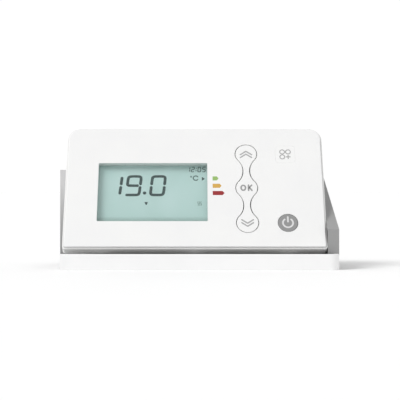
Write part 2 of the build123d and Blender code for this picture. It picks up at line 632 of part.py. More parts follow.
def head_nodes():
    """The nodes built in the head's own frame."""
    nodes = {
        "front_cover": front_cover(),
        "rear_shell": rear_shell(),
        "window_lens": window_lens(),
        "display_holder": display_holder(),
        "display_cell": display_cell(),
        "light_guide": light_guide(),
        "reflector_film": reflector_film(),
        "contact_strip": contact_strip(),
        "backlight_lamps": backlight_lamps(),
        "main_board": main_board(),
        "control_chip": control_chip(),
        "board_parts": board_parts(),
        "board_socket": board_socket(),
        "key_mat": key_mat(),
        "up_key": lobe_key(0),
        "ok_key": lobe_key(1),
        "down_key": lobe_key(2),
        "menu_key": key(menu_outline(MENU_GAP / 2), menu_outline(-LIP_REACH), MENU_AT),
        "power_key": key(power_outline(POWER_GAP / 2), power_outline(-LIP_REACH), POWER_AT),
    }
    for name, (v, length) in MARKS.items():
        nodes[name] = gauge_mark(v, length)
    return {name: HEAD * shape for name, shape in nodes.items()}


def cradle_nodes():
    """The nodes built in the part's frame."""
    return {
        "cradle": cradle(),
        "end_cap": end_cap(),
        "front_rail": front_rail(),
        "left_gusset": gusset(-1),
        "right_gusset": gusset(1),
        "rear_hood": rear_hood(),
        "cable_grommet": cable_grommet(),
        "cable_clamp": cable_clamp(),
        "power_board": power_board(),
        "relay": relay(),
        "transformer": transformer(),
        "capacitor": capacitor(),
        "fuse": fuse(),
        "varistor": varistor(),
        "link_header": link_header(),
        "link_cable": link_cable(),
        "terminal_block": terminal_block(),
        "terminal_screws": terminal_screws(),
        "sensor_holder": sensor_holder(),
        "sensor_bead": sensor_bead(),
        "sensor_lead": sensor_lead(),
        "shell_screws": screws_in_head(SHELL_SCREWS, BACK_W + FIT, 12.2, 1),
        "board_screws": screws_in_head(BOARD_SCREWS, BOARD_W[0] - SCREW_HEAD_T, 7.8, 1),
        "gusset_screws": gusset_screws(),
        "foot_screws": foot_screws(),
        "post_screws": post_screws(),
        "hood_screws": hood_screws(),
        "clamp_screws": clamp_screws(),
    }


os.makedirs("parts", exist_ok=True)
for node, shape in {**head_nodes(), **cradle_nodes()}.items():
    export_step(shape, f"parts/{node}.step")
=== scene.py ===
"""The looks of a wall thermostat: a leaning control head with a display and keys, on the end of a grey
housing with a white front rail. Metres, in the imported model's own frame."""

import json
import math

import bmesh
import bpy
import numpy as np
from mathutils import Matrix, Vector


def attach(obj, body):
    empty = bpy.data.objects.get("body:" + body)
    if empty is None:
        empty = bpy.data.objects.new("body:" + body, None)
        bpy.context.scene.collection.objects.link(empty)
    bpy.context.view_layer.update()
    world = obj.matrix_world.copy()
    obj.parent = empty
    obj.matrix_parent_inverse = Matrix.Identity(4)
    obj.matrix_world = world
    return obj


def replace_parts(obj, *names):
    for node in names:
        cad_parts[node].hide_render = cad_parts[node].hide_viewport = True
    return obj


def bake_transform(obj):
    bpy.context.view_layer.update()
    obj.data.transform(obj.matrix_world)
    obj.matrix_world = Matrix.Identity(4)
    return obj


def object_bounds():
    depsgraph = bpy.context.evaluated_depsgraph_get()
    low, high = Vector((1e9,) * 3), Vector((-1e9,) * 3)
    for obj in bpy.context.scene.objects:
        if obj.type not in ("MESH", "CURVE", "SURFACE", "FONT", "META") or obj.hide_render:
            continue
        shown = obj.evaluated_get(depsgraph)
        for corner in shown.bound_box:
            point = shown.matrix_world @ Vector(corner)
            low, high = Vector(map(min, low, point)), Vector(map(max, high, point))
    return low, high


MM = 0.001

# The cover's points within this depth of its front belong to the plate's face.
FACE_DEPTH = 1.0 * MM

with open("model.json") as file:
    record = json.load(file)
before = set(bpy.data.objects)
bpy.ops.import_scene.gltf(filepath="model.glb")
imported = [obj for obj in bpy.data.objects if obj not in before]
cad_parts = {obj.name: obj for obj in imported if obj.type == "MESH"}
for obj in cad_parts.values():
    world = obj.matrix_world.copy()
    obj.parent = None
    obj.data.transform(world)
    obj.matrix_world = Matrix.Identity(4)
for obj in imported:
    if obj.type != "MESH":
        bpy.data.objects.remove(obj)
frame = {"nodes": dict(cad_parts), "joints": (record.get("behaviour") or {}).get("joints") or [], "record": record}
cad_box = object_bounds()


# --- The head's own frame ---------------------------------------------------------------------------------


class Head:
    """Places points given in the head's frame: x across from its middle, v up its front from the plate's
    foot, d out from the plate's front face, all in millimetres."""

    def __init__(self):
        cover = frame["nodes"]["front_cover"].data
        points = np.empty(len(cover.vertices) * 3)
        cover.vertices.foreach_get("co", points)
        points = points.reshape(-1, 3)
        press = next(j for j in frame["joints"] if j["name"] == "ok_press")
        self.out = -np.array(press["axis"], float)
        self.out /= np.linalg.norm(self.out)
        self.across = np.array([1.0, 0.0, 0.0])
        self.up = np.cross(self.out, self.across)
        front = (points @ self.out).max()
        plate = points[points @ self.out > front - FACE_DEPTH]
        foot = (plate @ self.up).min()
        middle = (plate[:, 0].min() + plate[:, 0].max()) / 2
        self.origin = self.out * front + self.up * foot + self.across * middle

    def at(self, x, v, d=0.0):
        x, v, d = (np.asarray(k, float)[..., None] * MM for k in np.broadcast_arrays(x, v, d))
        return self.origin + x * self.across + v * self.up + d * self.out


head = Head()

# Sizes and places in the head's frame. X, V and D in a name say which way it is measured, T is a thickness
# and R a radius. LOBE_V runs from the up key to the down key.
PLATE_T = 1.6
LOBE_X, LOBE_V, LOBE_R, NECK_HALF = 22.45, (45.6, 28.5, 11.4), 4.8, 1.5
LOBE_GAP_HALF, LOBE_EDGE, POWER_EDGE = 0.24, 0.14, 0.18
UPPER_NECK_V, LOWER_NECK_V = (33.4, 40.7), (23.6, 16.3)
LIP_D, STEM_END_D, STEM_R, LIP_REACH = (-2.5, -1.7), -6.05, 1.6, 0.9
POWER_AT, POWER_R = (39.6, 11.3), 4.2
MENU_AT, MENU_SIDE, MENU_CORNER = (39.6, 45.4), 8.59, 1.6
DISPLAY_D, PAINTED_SHADE_V = -3.0, (13.6, 16.2)
WINDOW_X, WINDOW_V, WINDOW_R = (-41.8, 5.55), (12.1, 41.0), 0.4
INK = 0.03
LINING_T, LINING_D = 0.12, -0.06

# Heights above the housing's underside over which its painted shade fades out: darker grey low down, pale above.
PAINTED_SHADE_HEIGHTS = (6.0, 36.0)


# --- Colours and shader nodes -----------------------------------------------------------------------------


MIDDLE = (0.3, 0.7)
PLASTIC_IOR = 1.53


def linear(code):
    """An sRGB hex colour as linear red, green, blue and full alpha."""
    parts = np.array([int(code[i : i + 2], 16) for i in (1, 3, 5)]) / 255
    light = np.where(parts <= 0.04045, parts / 12.92, ((parts + 0.055) / 1.055) ** 2.4)
    return (*(float(k) for k in light), 1.0)


def add_node(tree, kind, inputs=None, **settings):
    """Adds one node: settings are its own properties, and inputs are values or other nodes' outputs."""
    made = tree.nodes.new(kind)
    for name, value in settings.items():
        setattr(made, name, value)
    for name, value in (inputs or {}).items():
        if isinstance(value, bpy.types.NodeSocket):
            tree.links.new(value, made.inputs[name])
        else:
            made.inputs[name].default_value = value
    return made


def new_material(name):
    material = bpy.data.materials.new(name)
    material.use_nodes = True
    material.node_tree.nodes.clear()
    return material, material.node_tree


def lumps(tree, size_mm, detail=2.0, roughness=0.5):
    """Cloudy unevenness about size_mm across, on the piece's own coordinates."""
    place = add_node(tree, "ShaderNodeTexCoord").outputs["Object"]
    inputs = {"Vector": place, "Scale": 1 / (size_mm * MM), "Detail": detail, "Roughness": roughness}
    return add_node(tree, "ShaderNodeTexNoise", inputs).outputs["Fac"]


def surface(tree, rough, relief, tint=None, foot=None, **inputs):
    """A Principled shader joined to the output. rough and tint are a pattern and the two ends, roughnesses or
    hex colours, that it goes between over MIDDLE of its range. relief is a pattern, its depth in millimetres
    and its strength. foot is a share and the hex colour of painted shade that the tint starts from where
    the share is nought.
    Words in inputs are the socket names with underscores."""
    named = {name.replace("_", " "): value for name, value in inputs.items()}
    if tint:
        pattern, *ends = tint
        ramp = add_node(tree, "ShaderNodeValToRGB", {"Fac": pattern})
        for stop, place, code in zip(ramp.color_ramp.elements, MIDDLE, ends):
            stop.position, stop.color = place, linear(code)
        named["Base Color"] = ramp.outputs["Color"]
    if foot:
        share, code = foot
        colours = {"Factor": share, 6: linear(code), 7: named["Base Color"]}
        named["Base Color"] = add_node(tree, "ShaderNodeMix", colours, data_type="RGBA").outputs[2]
    pattern, low, high = rough
    span = {"Value": pattern, "From Min": MIDDLE[0], "From Max": MIDDLE[1], "To Min": low, "To Max": high}
    named["Roughness"] = add_node(tree, "ShaderNodeMapRange", span).outputs["Result"]
    pattern, depth_mm, strength = relief
    height = {"Height": pattern, "Distance": depth_mm * MM, "Strength": strength}
    named["Normal"] = add_node(tree, "ShaderNodeBump", height).outputs["Normal"]
    shader = add_node(tree, "ShaderNodeBsdfPrincipled", named)
    add_node(tree, "ShaderNodeOutputMaterial", {"Surface": shader.outputs["BSDF"]})


# --- Materials --------------------------------------------------------------------------------------------


def moulded(name, low, high, grain_mm=0.35, grain_depth=0.012, rough=(0.42, 0.52), drift_mm=18.0):
    """Injection-moulded plastic: an even colour that drifts a little, and a fine spark-eroded grain. The
    grain is mostly drawn over twice as coarse as the real 0.15 mm, so that it shows close up."""
    material, tree = new_material(name)
    grain = lumps(tree, grain_mm, 3.0, 0.6)
    tint = (lumps(tree, drift_mm), low, high)
    surface(tree, (grain, *rough), (grain, grain_depth, 0.35), tint, IOR=PLASTIC_IOR)
    return material


def painted_shade_housing_plastic():
    """Moulded grey plastic with painted shade: darker grey low down, fading out between two heights above the
    underside, and pale above.
    """
    material, tree = new_material("painted_shade_pale_grey_abs_housing")
    grain = lumps(tree, 0.5, 3.0, 0.6)
    place = add_node(tree, "ShaderNodeTexCoord").outputs["Object"]
    height = add_node(tree, "ShaderNodeSeparateXYZ", {"Vector": place}).outputs["Z"]
    low, high = (z * MM for z in PAINTED_SHADE_HEIGHTS)
    span = {"Value": height, "From Min": low, "From Max": high}
    share = add_node(tree, "ShaderNodeMapRange", span).outputs["Result"]
    tint = (lumps(tree, 18.0), "#dadada", "#e0e0e0")
    # Painted shade: the tint starts from #989898 at the lower height.
    surface(tree, (grain, 0.48, 0.6), (grain, 0.02, 0.35), tint, (share, "#989898"), IOR=PLASTIC_IOR)
    return material


def powder_coat(name, low, high):
    """Baked powder paint on sheet steel: smooth, half gloss, with a slight orange peel about 1.5 mm
    across."""
    material, tree = new_material(name)
    peel = lumps(tree, 1.5, 1.0)
    tint = (lumps(tree, 12.0), low, high)
    surface(tree, (peel, 0.3, 0.38), (peel, 0.02, 0.25), tint, Coat_Weight=0.15, Coat_Roughness=0.2)
    return material


def ink(name, low, high):
    """Screen-printed ink: a thin even film with the mesh's faint unevenness, about 0.3 mm."""
    material, tree = new_material(name)
    mesh_mark = lumps(tree, 0.3)
    surface(tree, (mesh_mark, 0.36, 0.48), (mesh_mark, 0.004, 0.2), (mesh_mark, low, high))
    return material


def display_face():
    """A liquid-crystal cell over a pearly reflector: pale blue-green, cloudy over about 15 mm, with the
    reflector's fine sparkle. Near its foot painted shade darkens it, for the shade under the window's lower edge."""
    material, tree = new_material("pearl_display_reflector")
    pearl = lumps(tree, 0.25)
    place = add_node(tree, "ShaderNodeTexCoord").outputs["Object"]
    height = add_node(tree, "ShaderNodeVectorMath", {0: place, 1: head.up}, operation="DOT_PRODUCT")
    low, high = (float(head.at(0, v) @ head.up) for v in PAINTED_SHADE_V)
    span = {"Value": height.outputs["Value"], "From Min": low, "From Max": high}
    outside_painted_shade = add_node(tree, "ShaderNodeMapRange", span).outputs["Result"]
    cloudy = (lumps(tree, 15.0, 1.0), "#bcd3d1", "#c8dbdb")
    # Painted shade: towards its foot the display darkens to #9fb6b3.
    surface(tree, (pearl, 0.34, 0.44), (pearl, 0.004, 0.15), cloudy, (outside_painted_shade, "#9fb6b3"))
    return material


def clear_acrylic(name, roughness):
    """Polished clear acrylic, IOR 1.49: light goes straight through, and its face mirrors 4% of it head on
    and more at a slant, as Schlick's fifth power says, with faint wiping marks."""
    material, tree = new_material(name)
    marks = {"From Min": MIDDLE[0], "From Max": MIDDLE[1], "To Min": roughness, "To Max": roughness + 0.05}
    wiped = add_node(tree, "ShaderNodeMapRange", {"Value": lumps(tree, 6.0, 4.0), **marks}).outputs["Result"]
    clear = add_node(tree, "ShaderNodeBsdfTransparent", {"Color": linear("#fbfefd")})
    gloss = add_node(tree, "ShaderNodeBsdfGlossy", {"Color": linear("#ffffff"), "Roughness": wiped})
    turned_away = add_node(tree, "ShaderNodeLayerWeight", {"Blend": 0.5}).outputs["Facing"]
    steep = add_node(tree, "ShaderNodeMath", {0: turned_away, 1: 5.0}, operation="POWER").outputs["Value"]
    share = add_node(tree, "ShaderNodeMapRange", {"Value": steep, "To Min": 0.04, "To Max": 1.0})
    layers = {0: share.outputs["Result"], 1: clear.outputs["BSDF"], 2: gloss.outputs["BSDF"]}
    mixed = add_node(tree, "ShaderNodeMixShader", layers)
    add_node(tree, "ShaderNodeOutputMaterial", {"Surface": mixed.outputs["Shader"]})
    return material


def solder_mask():
    """A glass-fibre circuit board under green solder mask: copper tracks show through as paler lines 0.5 mm
    wide."""
    material, tree = new_material("green_solder_mask")
    place = add_node(tree, "ShaderNodeTexCoord").outputs["Object"]
    tracks = add_node(
        tree,
        "ShaderNodeTexBrick",
        {
            "Vector": place,
            "Color1": linear("#0f5a32"),
            "Color2": linear("#136339"),
            "Mortar": linear("#2f8a55"),
            "Scale": 1.0,
            "Mortar Size": 0.25 * MM,
            "Brick Width": 9 * MM,
            "Row Height": 2.2 * MM,
        },
    )
    relief = (tracks.outputs["Fac"], 0.03, 0.3)
    surface(tree, (lumps(tree, 1.0), 0.22, 0.34), relief, Base_Color=tracks.outputs["Color"])
    return material


def laminations():
    """Stacked core steel: thin sheets seen edge on as dark lines about 1 mm apart, twice as coarse as the
    real 0.5 mm, so that they show."""
    material, tree = new_material("laminated_core_steel")
    place = add_node(tree, "ShaderNodeTexCoord").outputs["Object"]
    inputs = {"Vector": place, "Scale": 0.32 / MM}
    sheets = add_node(tree, "ShaderNodeTexWave", inputs, bands_direction="Y").outputs["Fac"]
    tint = (sheets, "#3c3d40", "#8d8f92")
    surface(tree, (lumps(tree, 0.8), 0.35, 0.5), (sheets, 0.05, 0.5), tint, Metallic=0.8)
    return material


def plated_steel():
    """Zinc-plated screw steel: bright, with a slightly mottled passivation."""
    material, tree = new_material("zinc_plated_steel")
    mottle = lumps(tree, 0.6, 3.0)
    tint = (mottle, "#a9abad", "#c9cbcc")
    surface(tree, (mottle, 0.25, 0.4), (mottle, 0.01, 0.2), tint, Metallic=1.0)
    return material


WHITE_ABS = moulded("white_abs_fine_grain", "#efefef", "#f2f2f1")
LEGEND_INK = ink("legend_grey_ink", "#a4a4a4", "#b2b2b2")
OK_INK = ink("legend_dark_grey_ink", "#959595", "#9f9f9f")
POWER_INK = ink("power_sign_pale_ink", "#d4d4d4", "#dedede")
SEGMENT_INK = ink("display_segment_dark", "#1f3637", "#284040")
SMALL_SEGMENT_INK = ink("display_segment_small", "#4a6463", "#546e6c")
# Painted shade: the window's lining is teal grey, to darken the opening's walls as shade would.
PAINTED_SHADE_LINING = moulded("painted_shade_window_lining", "#b9c5c2", "#c1ccc9", 0.5, 0.01, (0.5, 0.6), 4.0)
FAINT_SEGMENT_INK = ink("display_segment_faint", "#748f8b", "#7c9793")

SLOT_MATERIALS = {
    "white_plastic": WHITE_ABS,
    "shell_plastic": moulded("white_abs_shell", "#e9e9e8", "#eeeeed"),
    "key_white": WHITE_ABS,
    "key_grey": moulded("grey_abs_power_key", "#8e8e8e", "#969696", rough=(0.38, 0.46)),
    "grey_plastic": painted_shade_housing_plastic(),
    # The end cap's mid grey is partly its own colour and partly painted shade, for the head's shadow on it.
    "cap_plastic": moulded("mid_grey_abs_end_cap", "#979797", "#9c9c9c", 0.5, 0.02, (0.48, 0.6)),
    "bracket_grey": moulded("grey_filled_nylon", "#8a8a8a", "#9a9a9a", 0.6, 0.03, (0.5, 0.65), 4.0),
    "holder_plastic": moulded("pale_holder_abs", "#cdd3d1", "#d5dad8"),
    "rail_white": powder_coat("white_powder_coat", "#f9f9f9", "#fcfcfc"),
    "clear_window": clear_acrylic("clear_acrylic_window", 0.02),
    "clear_acrylic": clear_acrylic("clear_acrylic_guide", 0.2),
    "display_glass": display_face(),
    "white_film": moulded("white_polyester_film", "#eff0f0", "#f7f7f7", 0.8, 0.004, (0.25, 0.35)),
    "dark_silicone": moulded("carbon_silicone_strip", "#17161a", "#2b2a2f", 0.1, 0.01, (0.5, 0.6), 0.3),
    "lamp_body": moulded("lamp_phosphor_resin", "#e9dc8a", "#f2e9a6", 0.3, 0.01, (0.2, 0.3), 0.6),
    "circuit_board": solder_mask(),
    "chip_black": moulded("chip_epoxy", "#15161a", "#1d1e22", 0.2, 0.01, (0.45, 0.6), 2.0),
    "ceramic_tan": moulded("ceramic_parts", "#8f7350", "#b59a70", 0.2, 0.01, (0.3, 0.5), 1.5),
    "connector_nylon": moulded("natural_nylon", "#dcd6c4", "#e8e3d4", 0.4, 0.015, (0.4, 0.5), 3.0),
    "grey_silicone": moulded("grey_silicone_rubber", "#8b8e90", "#979a9c", 0.4, 0.015, (0.6, 0.72), 5.0),
    "green_ink": ink("gauge_green_ink", "#8fb45f", "#9cc072"),
    "amber_ink": ink("gauge_amber_ink", "#cda045", "#daac54"),
    "red_ink": ink("gauge_red_ink", "#932023", "#9d2a2c"),
    "black_rubber": moulded("black_moulded_rubber", "#1a1a1b", "#262627", 0.5, 0.03, (0.6, 0.75), 3.0),
    "black_nylon": moulded("black_nylon", "#1c1c1e", "#28282a", 0.4, 0.02, (0.4, 0.55), 3.0),
    "relay_blue": moulded("relay_case_blue", "#1d4fa0", "#245ab0", 0.5, 0.01, (0.25, 0.35), 5.0),
    "core_steel": laminations(),
    "capacitor_sleeve": moulded("capacitor_sleeve_dark", "#14203c", "#1c2a4c", 0.6, 0.01, (0.2, 0.3), 3.0),
    "fuse_glass": moulded("fuse_cartridge_ceramic", "#d9d6cc", "#e6e3da", 0.4, 0.01, (0.25, 0.4), 2.0),
    "varistor_blue": moulded("varistor_epoxy_dip", "#1f4a86", "#2a5a9c", 0.9, 0.04, (0.2, 0.35), 2.0),
    "cable_grey": moulded("cable_soft_sheath", "#6e7072", "#7c7e80", 0.5, 0.02, (0.5, 0.6), 3.0),
    "terminal_green": moulded("terminal_polyamide", "#2f8c52", "#379a5d", 0.5, 0.015, (0.4, 0.5), 4.0),
    "screw_steel": plated_steel(),
    "sensor_epoxy": moulded("sensor_epoxy_bead", "#141416", "#202024", 0.5, 0.02, (0.2, 0.3), 1.0),
}

for part in frame["record"]["subparts"]:
    shown = frame["nodes"][part["node"]]
    shown.data.materials.clear()
    shown.data.materials.append(SLOT_MATERIALS[part["material_slot"]])


# --- Surfaces ---------------------------------------------------------------------------------------------

MERGE_WITHIN = 1e-7
SHARP_ANGLE = math.radians(35)
END_ROWS, END_START, TIP_REACH = 6, 0.06, 0.6


def grid_faces(rows, columns, close_rows=False):
    """Quads of a grid that closes on itself along its columns, and along its rows where that is asked."""
    r = np.arange(rows if close_rows else rows - 1)[:, None]
    c = np.arange(columns)[None, :]
    below, beside = (r + 1) % rows, (c + 1) % columns
    corners = (r * columns + c, below * columns + c, below * columns + beside, r * columns + beside)
    return np.stack(corners, -1).reshape(-1, 4)


def piece(name, shells, material, body):
    """One object from closed shells, each an array of points and one of faces, its normals turned out.
    Rows that close on a point or a line leave bare edges there, which are taken away."""
    counts = np.cumsum([0] + [len(points) for points, _ in shells])
    points = np.concatenate([points for points, _ in shells])
    faces = np.concatenate([quads + start for (_, quads), start in zip(shells, counts)])
    mesh = bpy.data.meshes.new(name)
    mesh.from_pydata(points, [], faces.tolist())
    work = bmesh.new()
    work.from_mesh(mesh)
    bmesh.ops.remove_doubles(work, verts=work.verts, dist=MERGE_WITHIN)
    bare = [edge for edge in work.edges if not edge.link_faces]
    bmesh.ops.delete(work, geom=bare, context="EDGES")
    bmesh.ops.recalc_face_normals(work, faces=work.faces)
    work.to_mesh(mesh)
    work.free()
    mesh.polygons.foreach_set("use_smooth", np.ones(len(mesh.polygons), bool))
    mesh.set_sharp_from_angle(angle=SHARP_ANGLE)
    mesh.materials.append(material)
    made = bpy.data.objects.new(name, mesh)
    bpy.context.scene.collection.objects.link(made)
    if body:
        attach(made, body)
    return made


def unit(vectors):
    return vectors / np.linalg.norm(vectors, axis=-1, keepdims=True)


def line_shell(path, width, d, closed=False, taper=False):
    """A flat printed line: a four-cornered section carried along the path, from depth d[0] to d[1]. An open
    line gets half-round ends, or pointed ones with taper, from sections that narrow towards the tip."""
    path = np.asarray(path, float)
    half = width / 2
    if closed:
        along = unit(np.roll(path, -1, 0) - np.roll(path, 1, 0))
        halves = np.full(len(path), half)
    else:
        start, end = unit(path[0] - path[1]), unit(path[-1] - path[-2])
        turn = np.linspace(END_START, math.pi / 2, END_ROWS + 1)[:-1, None]
        share = turn / (math.pi / 2)
        reach = (TIP_REACH - TIP_REACH * share if taper else np.cos(turn)) * half
        narrow = (share if taper else np.sin(turn)) * half
        along = np.gradient(path, axis=0)
        along = np.concatenate([np.tile(-start, (END_ROWS, 1)), unit(along), np.tile(end, (END_ROWS, 1))])
        halves = np.concatenate([narrow[:, 0], np.full(len(path), half), narrow[::-1, 0]])
        path = np.concatenate([path[0] + start * reach, path, path[-1] + end * reach[::-1]])
    side = np.stack([-along[:, 1], along[:, 0]], -1) * halves[:, None]
    left, right = path + side, path - side
    loops = [
        head.at(left[:, 0], left[:, 1], d[0]),
        head.at(left[:, 0], left[:, 1], d[1]),
        head.at(right[:, 0], right[:, 1], d[1]),
        head.at(right[:, 0], right[:, 1], d[0]),
    ]
    points = np.stack(loops, 1).reshape(-1, 3)
    faces = grid_faces(len(path), 4, close_rows=closed)
    if not closed:
        last = 4 * (len(path) - 1)
        faces = np.concatenate([faces, [[3, 2, 1, 0]], [[last, last + 1, last + 2, last + 3]]])
    return points, faces


def filled_shell(outline, d, edge=0.0, steps=4, centre=None, soft=None):
    """A flat solid inside a closed outline, from depth d[0] up to d[1]. Its top edge is rounded to the
    radius edge, a quarter circle of rows, and its top and foot run in to centre, one point for each of the
    outline's. A row just inside the rounding keeps the top's shading flat. soft says how much of the
    rounding each point takes."""
    outline = np.asarray(outline, float)
    centre = outline.mean(0) + np.zeros_like(outline) if centre is None else np.asarray(centre, float)
    along = unit(np.roll(outline, -1, 0) - np.roll(outline, 1, 0))
    inward = np.stack([-along[:, 1], along[:, 0]], -1)
    area = np.sum(outline[:, 0] * np.roll(outline[:, 1], -1) - outline[:, 1] * np.roll(outline[:, 0], -1))
    inward *= np.sign(area)
    share = np.ones(len(outline)) if soft is None else soft
    rows = [(centre, d[0]), (outline, d[0])]
    for turn in np.linspace(0, math.pi / 2, steps) if edge else [0.0]:
        inset = edge * (1 - math.cos(turn)) * share[:, None]
        rows.append((outline + inward * inset, d[1] - edge * (1 - math.sin(turn))))
    rim = rows[-1][0]
    rows += [(rim + (centre - rim) * near, d[1]) for near in (0.03, 0.5, 1.0)]
    points = np.concatenate([head.at(flat[:, 0], flat[:, 1], depth) for flat, depth in rows])
    return points, grid_faces(len(rows), len(outline))


def arc(centre, radius, start, stop, steps=24, squeeze=1.0):
    """Points on an arc, angles in degrees from +x towards +v. squeeze narrows it across."""
    turn = np.radians(np.linspace(start, stop, steps))
    return np.stack([centre[0] + squeeze * radius * np.cos(turn), centre[1] + radius * np.sin(turn)], -1)


def ring(centre, radius, steps=48, squeeze=1.0):
    return arc(centre, radius, 0, 360 * (1 - 1 / steps), steps, squeeze)


def along_line(*corners, steps=10):
    """Points evenly spaced on the straight runs between the corners."""
    corners = np.asarray(corners, float)
    runs = [np.linspace(a, b, steps, endpoint=False) for a, b in zip(corners, corners[1:])]
    return np.concatenate(runs + [corners[-1:]])


def rounded_box(x, v, corner):
    """A closed outline between limits, with round corners as four quarter circles."""
    (left, right), (low, high) = (x[0] + corner, x[1] - corner), (v[0] + corner, v[1] - corner)
    quarters = [(right, high, 0), (left, high, 90), (left, low, 180), (right, low, 270)]
    return np.concatenate([arc((a, b), corner, turn, turn + 90, 10) for a, b, turn in quarters])


# --- Keys -------------------------------------------------------------------------------------------------


def stem_shells(at, lip_outline):
    """What a key has behind the plate: the lip that keeps it in and the stem that presses its dome."""
    lip = filled_shell(lip_outline, LIP_D)
    return [lip, filled_shell(ring(at, STEM_R), (STEM_END_D, LIP_D[0]))]


def lobe_outline(end):
    """Half of the three-lobed key, from the middle of the OK lobe out to the end lobe: circle, neck hollow
    and circle on each side, then the straight cut across the OK lobe. end is 1 for the upper half and -1
    for the lower. Returns the outline, the line down its middle that its surface runs in to, and how
    much of the edge rounding each point takes."""
    radius, neck = LOBE_R - LOBE_GAP_HALF, NECK_HALF - LOBE_GAP_HALF
    half_pitch = (LOBE_V[0] - LOBE_V[1]) / 2
    hollow = (neck**2 + half_pitch**2 - radius**2) / (2 * (radius - neck))
    meet = math.degrees(math.atan2(half_pitch, neck + hollow))
    ok, far = (0, 0), (0, 2 * half_pitch)
    right = np.concatenate(
        [
            arc(ok, radius, 0, meet, 20)[:-1],
            arc((neck + hollow, half_pitch), hollow, 180 + meet, 180 - meet, 24)[:-1],
            arc(far, radius, -meet, 90, 36),
        ]
    )
    left = right[::-1][1:] * (-1, 1)
    cut = along_line((-radius, 0), (radius, 0), steps=8)[1:-1]
    flat = np.concatenate([right, left, cut])
    spine = np.stack([np.zeros(len(flat)), np.clip(flat[:, 1], radius / 2, 2 * half_pitch)], -1)
    soft = np.ones(len(flat))
    soft[len(right) + len(left) :] = 0
    soft[0] = soft[len(right) + len(left) - 1] = 0
    place = np.array([LOBE_X, LOBE_V[1]])
    return flat * (1, end) + place, spine * (1, end) + place, soft


def lobe_key(name, end, nodes, blend_v):
    """One half of the flexible three-lobed moulding."""
    outline, spine, soft = lobe_outline(end)
    shells = [filled_shell(outline, (LIP_D[1], 0.0), edge=LOBE_EDGE, centre=spine, soft=soft)]
    made = piece(name, shells, WHITE_ABS, None)
    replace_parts(made, *nodes)
    start, stop = (head.at(LOBE_X, v, -PLATE_T / 2) for v in blend_v)
    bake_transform(made)


lobe_key("upper_lobe_key", 1, ("up_key", "ok_key"), UPPER_NECK_V)
lobe_key("lower_lobe_key", -1, ("down_key",), LOWER_NECK_V)
for name, body, v in zip(("up_key_stem", "ok_key_stem", "down_key_stem"), ("up", "ok", "down"), LOBE_V):
    shells = stem_shells((LOBE_X, v), ring((LOBE_X, v), LOBE_R + LIP_REACH))
    piece(name, shells, WHITE_ABS, body)


def menu_outline(reach):
    (x, v), half = MENU_AT, MENU_SIDE / 2 + reach
    return rounded_box((x - half, x + half), (v - half, v + half), MENU_CORNER)


menu_shells = [filled_shell(menu_outline(0), (LIP_D[1], 0.0))]
menu_shells += stem_shells(MENU_AT, menu_outline(LIP_REACH))
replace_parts(piece("menu_key_cap", menu_shells, WHITE_ABS, "menu"), "menu_key")

power_shells = [filled_shell(ring(POWER_AT, POWER_R, 72), (LIP_D[1], 0.0), edge=POWER_EDGE)]
power_shells += stem_shells(POWER_AT, ring(POWER_AT, POWER_R + LIP_REACH))
power_cap = piece("power_key_cap", power_shells, SLOT_MATERIALS["key_grey"], "power")
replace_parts(power_cap, "power_key")


# --- Key mat ----------------------------------------------------------------------------------------------

MAT_X, MAT_V, MAT_CORNER, MAT_D = (16.6, 46.4), (5.9, 52.3), 1.5, (-8.0, -7.3)
DOME_R, DOME_WALL, DOME_HOLE_R = (3.2, 2.1), 0.6, 3.22
HOLLOW_TOP_D, DOME_TOP_D = -6.7, -6.1
MAT_BOSSES, BOSS_HOLE_R = ((31.5, 7.4), (31.5, 50.6), (45.2, 28.5)), 2.3
SILICONE = SLOT_MATERIALS["grey_silicone"]


def mat_sheet():
    """The mat's flat sheet: its outline filled round the openings for the domes and the screw bosses."""
    curve = bpy.data.curves.new("key_mat_outline", "CURVE")
    curve.dimensions, curve.fill_mode, curve.extrude = "2D", "BOTH", (MAT_D[1] - MAT_D[0]) / 2
    domes = [(LOBE_X, v) for v in LOBE_V] + [MENU_AT, POWER_AT]
    loops = [rounded_box(MAT_X, MAT_V, MAT_CORNER)]
    loops += [ring(at, DOME_HOLE_R) for at in domes] + [ring(at, BOSS_HOLE_R) for at in MAT_BOSSES]
    for loop in loops:
        spline = curve.splines.new("POLY")
        spline.points.add(len(loop) - 1)
        spline.points.foreach_set("co", np.insert(loop, 2, [[0.0], [1.0]], axis=1).ravel())
        spline.use_cyclic_u = True
    holder = bpy.data.objects.new("key_mat_outline", curve)
    flat = bpy.data.meshes.new_from_object(holder)
    bpy.data.objects.remove(holder)
    flat.calc_loop_triangles()
    points, faces = np.empty(len(flat.vertices) * 3), np.empty(len(flat.loop_triangles) * 3, int)
    flat.vertices.foreach_get("co", points)
    flat.loop_triangles.foreach_get("vertices", faces)
    x, v, d = points.reshape(-1, 3).T
    return head.at(x, v, d + sum(MAT_D) / 2), faces.reshape(-1, 3)


def turned(at, profile, steps=48):
    """A closed profile of (radius, depth) points carried once round the axis through at."""
    turn = np.linspace(0, 2 * math.pi, steps, endpoint=False)
    radius, depth = np.array(profile, float).T[..., None]
    points = head.at(at[0] + radius * np.cos(turn), at[1] + radius * np.sin(turn), depth)
    return points.reshape(-1, 3), grid_faces(len(profile), steps, close_rows=True)


def dome_radii(d):
    """The outer and inner radius of a dome's sloping wall at depth d, each a straight run in to its top."""
    outer = np.interp(d, (MAT_D[0], DOME_TOP_D), DOME_R)
    return outer, np.interp(d, (MAT_D[0], HOLLOW_TOP_D), np.array(DOME_R) - DOME_WALL)


